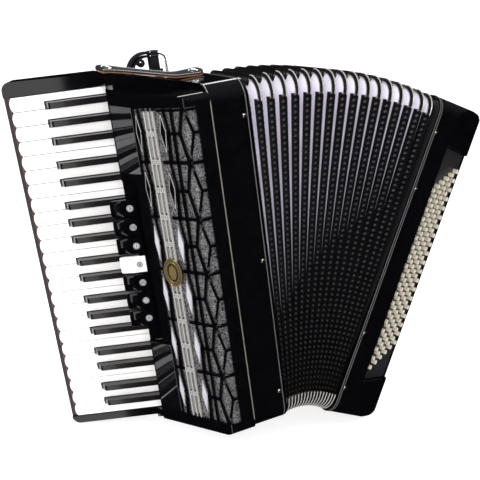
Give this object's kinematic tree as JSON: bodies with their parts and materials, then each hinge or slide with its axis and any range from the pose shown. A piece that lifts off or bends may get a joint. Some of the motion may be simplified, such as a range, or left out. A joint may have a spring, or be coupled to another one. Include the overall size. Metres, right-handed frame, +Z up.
{
  "type": "piano accordion",
  "caption": "Piano accordion standing in a V on its treble and bass sections, with a fanned bellows between, a piano keyboard, register switches, a lattice grille and a bass button board.",
  "frame": {"origin": "middle of the width and depth, on the surface that the instrument stands on", "axes": "+Z up, -Y towards the listener (the grille side), +X from the keyboard to the bass buttons"},
  "size_m": [0.6855, 0.2106, 0.551],
  "materials": {
    "case_black": "polished black celluloid over wood",
    "grille_black": "polished black lacquer",
    "lattice_black": "gloss black pressed metal",
    "grille_cloth": "silver glitter cloth",
    "key_white": "polished ivory-coloured plastic",
    "key_black": "polished black plastic",
    "button_cream": "polished cream plastic",
    "nickel": "polished nickel plate",
    "leather": "soft black leather",
    "bellows_tape": "embossed black bellows tape",
    "board_grey": "smooth dark grey plastic",
    "reed_wood": "bare pale wood"
  },
  "bodies": {
    "treble": {"treble_case": "case_black", "treble_grille": "grille_black", "grille_lattice": "lattice_black", "grille_cloth": "grille_cloth", "keyboard_bed": "case_black", "key_axle": "nickel", "register_housing": "case_black", "treble_reed_blocks": "reed_wood", "strap_brackets": "nickel", "treble_straps": "leather", "treble_bellows_pins": "nickel"},
    "bass": {"bass_case": "case_black", "bass_button_board": "board_grey", "bass_cover": "case_black", "bass_reed_blocks": "reed_wood", "bass_hand_strap": "leather", "bass_bellows_pins": "nickel"},
    "strap_wheel": {"strap_wheel": "nickel"},
    "air_button": {"air_button": "button_cream"},
    "keys_f": {"keys_f": "key_white"},
    "keys_g": {"keys_g": "key_white"},
    "keys_a": {"keys_a": "key_white"},
    "keys_b": {"keys_b": "key_white"},
    "keys_c": {"keys_c": "key_white"},
    "keys_d": {"keys_d": "key_white"},
    "keys_e": {"keys_e": "key_white"},
    "keys_f_sharp": {"keys_f_sharp": "key_black"},
    "keys_g_sharp": {"keys_g_sharp": "key_black"},
    "keys_a_sharp": {"keys_a_sharp": "key_black"},
    "keys_c_sharp": {"keys_c_sharp": "key_black"},
    "keys_d_sharp": {"keys_d_sharp": "key_black"},
    "register_switch_1": {"register_switch_1": "key_black"},
    "register_switch_2": {"register_switch_2": "key_black"},
    "register_switch_3": {"register_switch_3": "key_black"},
    "register_switch_4": {"register_switch_4": "key_white"},
    "register_switch_5": {"register_switch_5": "key_black"},
    "register_switch_6": {"register_switch_6": "key_black"},
    "register_switch_7": {"register_switch_7": "key_black"},
    "buttons_counter_bass": {"buttons_counter_bass": "button_cream"},
    "buttons_bass": {"buttons_bass": "button_cream"},
    "buttons_major": {"buttons_major": "button_cream"},
    "buttons_minor": {"buttons_minor": "button_cream"},
    "buttons_seventh": {"buttons_seventh": "button_cream"},
    "buttons_diminished": {"buttons_diminished": "button_cream"},
    "bellows_fold_01": {"bellows_fold_01": "bellows_tape"},
    "bellows_fold_02": {"bellows_fold_02": "bellows_tape"},
    "bellows_fold_03": {"bellows_fold_03": "bellows_tape"},
    "bellows_fold_04": {"bellows_fold_04": "bellows_tape"},
    "bellows_fold_05": {"bellows_fold_05": "bellows_tape"},
    "bellows_fold_06": {"bellows_fold_06": "bellows_tape"},
    "bellows_fold_07": {"bellows_fold_07": "bellows_tape"},
    "bellows_fold_08": {"bellows_fold_08": "bellows_tape"},
    "bellows_fold_09": {"bellows_fold_09": "bellows_tape"},
    "bellows_fold_10": {"bellows_fold_10": "bellows_tape"},
    "bellows_fold_11": {"bellows_fold_11": "bellows_tape"},
    "bellows_fold_12": {"bellows_fold_12": "bellows_tape"},
    "bellows_fold_13": {"bellows_fold_13": "bellows_tape"},
    "bellows_fold_14": {"bellows_fold_14": "bellows_tape"},
    "bellows_fold_15": {"bellows_fold_15": "bellows_tape"},
    "bellows_fold_16": {"bellows_fold_16": "bellows_tape"}
  },
  "joints": [
    {"name": "bellows_fan", "type": "hinge", "parent": "treble", "child": "bass", "pos_m": [0.04503, -0.0077, 0.03986], "axis": [0, 1, 0], "range_deg": [-28, 4]},
    {"name": "fold_01_turn", "type": "hinge", "parent": "treble", "child": "bellows_fold_01", "pos_m": [0.04503, -0.0077, 0.03986], "axis": [0, 1, 0], "range_deg": [-2.64, 0.81]},
    {"name": "fold_02_turn", "type": "hinge", "parent": "treble", "child": "bellows_fold_02", "pos_m": [0.04503, -0.0077, 0.03986], "axis": [0, 1, 0], "range_deg": [-4.29, 1.04]},
    {"name": "fold_03_turn", "type": "hinge", "parent": "treble", "child": "bellows_fold_03", "pos_m": [0.04503, -0.0077, 0.03986], "axis": [0, 1, 0], "range_deg": [-5.93, 1.28]},
    {"name": "fold_04_turn", "type": "hinge", "parent": "treble", "child": "bellows_fold_04", "pos_m": [0.04503, -0.0077, 0.03986], "axis": [0, 1, 0], "range_deg": [-7.58, 1.51]},
    {"name": "fold_05_turn", "type": "hinge", "parent": "treble", "child": "bellows_fold_05", "pos_m": [0.04503, -0.0077, 0.03986], "axis": [0, 1, 0], "range_deg": [-9.23, 1.75]},
    {"name": "fold_06_turn", "type": "hinge", "parent": "treble", "child": "bellows_fold_06", "pos_m": [0.04503, -0.0077, 0.03986], "axis": [0, 1, 0], "range_deg": [-10.88, 1.98]},
    {"name": "fold_07_turn", "type": "hinge", "parent": "treble", "child": "bellows_fold_07", "pos_m": [0.04503, -0.0077, 0.03986], "axis": [0, 1, 0], "range_deg": [-12.52, 2.22]},
    {"name": "fold_08_turn", "type": "hinge", "parent": "treble", "child": "bellows_fold_08", "pos_m": [0.04503, -0.0077, 0.03986], "axis": [0, 1, 0], "range_deg": [-14.17, 2.45]},
    {"name": "fold_09_turn", "type": "hinge", "parent": "treble", "child": "bellows_fold_09", "pos_m": [0.04503, -0.0077, 0.03986], "axis": [0, 1, 0], "range_deg": [-15.82, 2.69]},
    {"name": "fold_10_turn", "type": "hinge", "parent": "treble", "child": "bellows_fold_10", "pos_m": [0.04503, -0.0077, 0.03986], "axis": [0, 1, 0], "range_deg": [-17.46, 2.92]},
    {"name": "fold_11_turn", "type": "hinge", "parent": "treble", "child": "bellows_fold_11", "pos_m": [0.04503, -0.0077, 0.03986], "axis": [0, 1, 0], "range_deg": [-19.11, 3.16]},
    {"name": "fold_12_turn", "type": "hinge", "parent": "treble", "child": "bellows_fold_12", "pos_m": [0.04503, -0.0077, 0.03986], "axis": [0, 1, 0], "range_deg": [-20.76, 3.39]},
    {"name": "fold_13_turn", "type": "hinge", "parent": "treble", "child": "bellows_fold_13", "pos_m": [0.04503, -0.0077, 0.03986], "axis": [0, 1, 0], "range_deg": [-22.41, 3.63]},
    {"name": "fold_14_turn", "type": "hinge", "parent": "treble", "child": "bellows_fold_14", "pos_m": [0.04503, -0.0077, 0.03986], "axis": [0, 1, 0], "range_deg": [-24.05, 3.87]},
    {"name": "fold_15_turn", "type": "hinge", "parent": "treble", "child": "bellows_fold_15", "pos_m": [0.04503, -0.0077, 0.03986], "axis": [0, 1, 0], "range_deg": [-25.7, 4.1]},
    {"name": "fold_16_turn", "type": "hinge", "parent": "treble", "child": "bellows_fold_16", "pos_m": [0.04503, -0.0077, 0.03986], "axis": [0, 1, 0], "range_deg": [-27.35, 4.33]},
    {"name": "keys_f_press", "type": "hinge", "parent": "treble", "child": "keys_f", "pos_m": [-0.15775, 0.01909, 0.27097], "axis": [0.1565, 0, -0.9877], "range_deg": [0, 2.2], "stiffness_Nm_per_rad": 2.5, "springref_deg": -5.73},
    {"name": "keys_g_press", "type": "hinge", "parent": "treble", "child": "keys_g", "pos_m": [-0.15775, 0.01909, 0.27097], "axis": [0.1565, 0, -0.9877], "range_deg": [0, 2.2], "stiffness_Nm_per_rad": 2.5, "springref_deg": -5.73},
    {"name": "keys_a_press", "type": "hinge", "parent": "treble", "child": "keys_a", "pos_m": [-0.15775, 0.01909, 0.27097], "axis": [0.1565, 0, -0.9877], "range_deg": [0, 2.2], "stiffness_Nm_per_rad": 2.5, "springref_deg": -5.73},
    {"name": "keys_b_press", "type": "hinge", "parent": "treble", "child": "keys_b", "pos_m": [-0.15775, 0.01909, 0.27097], "axis": [0.1565, 0, -0.9877], "range_deg": [0, 2.2], "stiffness_Nm_per_rad": 2.5, "springref_deg": -5.73},
    {"name": "keys_c_press", "type": "hinge", "parent": "treble", "child": "keys_c", "pos_m": [-0.15775, 0.01909, 0.27097], "axis": [0.1565, 0, -0.9877], "range_deg": [0, 2.2], "stiffness_Nm_per_rad": 2.5, "springref_deg": -5.73},
    {"name": "keys_d_press", "type": "hinge", "parent": "treble", "child": "keys_d", "pos_m": [-0.15775, 0.01909, 0.27097], "axis": [0.1565, 0, -0.9877], "range_deg": [0, 2.2], "stiffness_Nm_per_rad": 2.5, "springref_deg": -5.73},
    {"name": "keys_e_press", "type": "hinge", "parent": "treble", "child": "keys_e", "pos_m": [-0.15775, 0.01909, 0.27097], "axis": [0.1565, 0, -0.9877], "range_deg": [0, 2.2], "stiffness_Nm_per_rad": 2.5, "springref_deg": -5.73},
    {"name": "keys_f_sharp_press", "type": "hinge", "parent": "treble", "child": "keys_f_sharp", "pos_m": [-0.15775, 0.01909, 0.27097], "axis": [0.1565, 0, -0.9877], "range_deg": [0, 2.2], "stiffness_Nm_per_rad": 2.5, "springref_deg": -5.73},
    {"name": "keys_g_sharp_press", "type": "hinge", "parent": "treble", "child": "keys_g_sharp", "pos_m": [-0.15775, 0.01909, 0.27097], "axis": [0.1565, 0, -0.9877], "range_deg": [0, 2.2], "stiffness_Nm_per_rad": 2.5, "springref_deg": -5.73},
    {"name": "keys_a_sharp_press", "type": "hinge", "parent": "treble", "child": "keys_a_sharp", "pos_m": [-0.15775, 0.01909, 0.27097], "axis": [0.1565, 0, -0.9877], "range_deg": [0, 2.2], "stiffness_Nm_per_rad": 2.5, "springref_deg": -5.73},
    {"name": "keys_c_sharp_press", "type": "hinge", "parent": "treble", "child": "keys_c_sharp", "pos_m": [-0.15775, 0.01909, 0.27097], "axis": [0.1565, 0, -0.9877], "range_deg": [0, 2.2], "stiffness_Nm_per_rad": 2.5, "springref_deg": -5.73},
    {"name": "keys_d_sharp_press", "type": "hinge", "parent": "treble", "child": "keys_d_sharp", "pos_m": [-0.15775, 0.01909, 0.27097], "axis": [0.1565, 0, -0.9877], "range_deg": [0, 2.2], "stiffness_Nm_per_rad": 2.5, "springref_deg": -5.73},
    {"name": "register_1_press", "type": "hinge", "parent": "treble", "child": "register_switch_1", "pos_m": [-0.18174, -0.00452, 0.34442], "axis": [0.1565, 0, -0.9877], "range_deg": [0, 4.5], "stiffness_Nm_per_rad": 0.1, "springref_deg": -17.19},
    {"name": "register_2_press", "type": "hinge", "parent": "treble", "child": "register_switch_2", "pos_m": [-0.1775, -0.00452, 0.31766], "axis": [0.1565, 0, -0.9877], "range_deg": [0, 4.5], "stiffness_Nm_per_rad": 0.1, "springref_deg": -17.19},
    {"name": "register_3_press", "type": "hinge", "parent": "treble", "child": "register_switch_3", "pos_m": [-0.17326, -0.00452, 0.29089], "axis": [0.1565, 0, -0.9877], "range_deg": [0, 4.5], "stiffness_Nm_per_rad": 0.1, "springref_deg": -17.19},
    {"name": "register_4_press", "type": "hinge", "parent": "treble", "child": "register_switch_4", "pos_m": [-0.16901, -0.00452, 0.26413], "axis": [0.1565, 0, -0.9877], "range_deg": [0, 4.5], "stiffness_Nm_per_rad": 0.1, "springref_deg": -17.19},
    {"name": "register_5_press", "type": "hinge", "parent": "treble", "child": "register_switch_5", "pos_m": [-0.16477, -0.00452, 0.23736], "axis": [0.1565, 0, -0.9877], "range_deg": [0, 4.5], "stiffness_Nm_per_rad": 0.1, "springref_deg": -17.19},
    {"name": "register_6_press", "type": "hinge", "parent": "treble", "child": "register_switch_6", "pos_m": [-0.16053, -0.00452, 0.21059], "axis": [0.1565, 0, -0.9877], "range_deg": [0, 4.5], "stiffness_Nm_per_rad": 0.1, "springref_deg": -17.19},
    {"name": "register_7_press", "type": "hinge", "parent": "treble", "child": "register_switch_7", "pos_m": [-0.15629, -0.00452, 0.18383], "axis": [0.1565, 0, -0.9877], "range_deg": [0, 4.5], "stiffness_Nm_per_rad": 0.1, "springref_deg": -17.19},
    {"name": "buttons_counter_bass_press", "type": "slide", "parent": "bass", "child": "buttons_counter_bass", "axis": [-0.4728, 0.866, 0.1627], "range_m": [0, 0.0035], "stiffness_N_per_m": 600, "springref_m": -0.01},
    {"name": "buttons_bass_press", "type": "slide", "parent": "bass", "child": "buttons_bass", "axis": [-0.4728, 0.866, 0.1627], "range_m": [0, 0.0035], "stiffness_N_per_m": 600, "springref_m": -0.01},
    {"name": "buttons_major_press", "type": "slide", "parent": "bass", "child": "buttons_major", "axis": [-0.4728, 0.866, 0.1627], "range_m": [0, 0.0035], "stiffness_N_per_m": 600, "springref_m": -0.01},
    {"name": "buttons_minor_press", "type": "slide", "parent": "bass", "child": "buttons_minor", "axis": [-0.4728, 0.866, 0.1627], "range_m": [0, 0.0035], "stiffness_N_per_m": 600, "springref_m": -0.01},
    {"name": "buttons_seventh_press", "type": "slide", "parent": "bass", "child": "buttons_seventh", "axis": [-0.4728, 0.866, 0.1627], "range_m": [0, 0.0035], "stiffness_N_per_m": 600, "springref_m": -0.01},
    {"name": "buttons_diminished_press", "type": "slide", "parent": "bass", "child": "buttons_diminished", "axis": [-0.4728, 0.866, 0.1627], "range_m": [0, 0.0035], "stiffness_N_per_m": 600, "springref_m": -0.01},
    {"name": "air_button_press", "type": "slide", "parent": "bass", "child": "air_button", "axis": [-0.9455, 0, 0.3255], "range_m": [0, 0.004], "stiffness_N_per_m": 200, "springref_m": -0.005},
    {"name": "strap_wheel_turn", "type": "hinge", "parent": "bass", "child": "strap_wheel", "pos_m": [0.32994, 0.0303, 0.42511], "axis": [0.3255, 0, 0.9455], "continuous": true}
  ],
  "couplings": [
    {"joint": "fold_01_turn", "follows": "bellows_fan", "ratio": 0.076471},
    {"joint": "fold_02_turn", "follows": "bellows_fan", "ratio": 0.13529},
    {"joint": "fold_03_turn", "follows": "bellows_fan", "ratio": 0.19412},
    {"joint": "fold_04_turn", "follows": "bellows_fan", "ratio": 0.25294},
    {"joint": "fold_05_turn", "follows": "bellows_fan", "ratio": 0.31176},
    {"joint": "fold_06_turn", "follows": "bellows_fan", "ratio": 0.37059},
    {"joint": "fold_07_turn", "follows": "bellows_fan", "ratio": 0.42941},
    {"joint": "fold_08_turn", "follows": "bellows_fan", "ratio": 0.48824},
    {"joint": "fold_09_turn", "follows": "bellows_fan", "ratio": 0.54706},
    {"joint": "fold_10_turn", "follows": "bellows_fan", "ratio": 0.60588},
    {"joint": "fold_11_turn", "follows": "bellows_fan", "ratio": 0.66471},
    {"joint": "fold_12_turn", "follows": "bellows_fan", "ratio": 0.72353},
    {"joint": "fold_13_turn", "follows": "bellows_fan", "ratio": 0.78235},
    {"joint": "fold_14_turn", "follows": "bellows_fan", "ratio": 0.84118},
    {"joint": "fold_15_turn", "follows": "bellows_fan", "ratio": 0.9},
    {"joint": "fold_16_turn", "follows": "bellows_fan", "ratio": 0.95882}
  ]
}
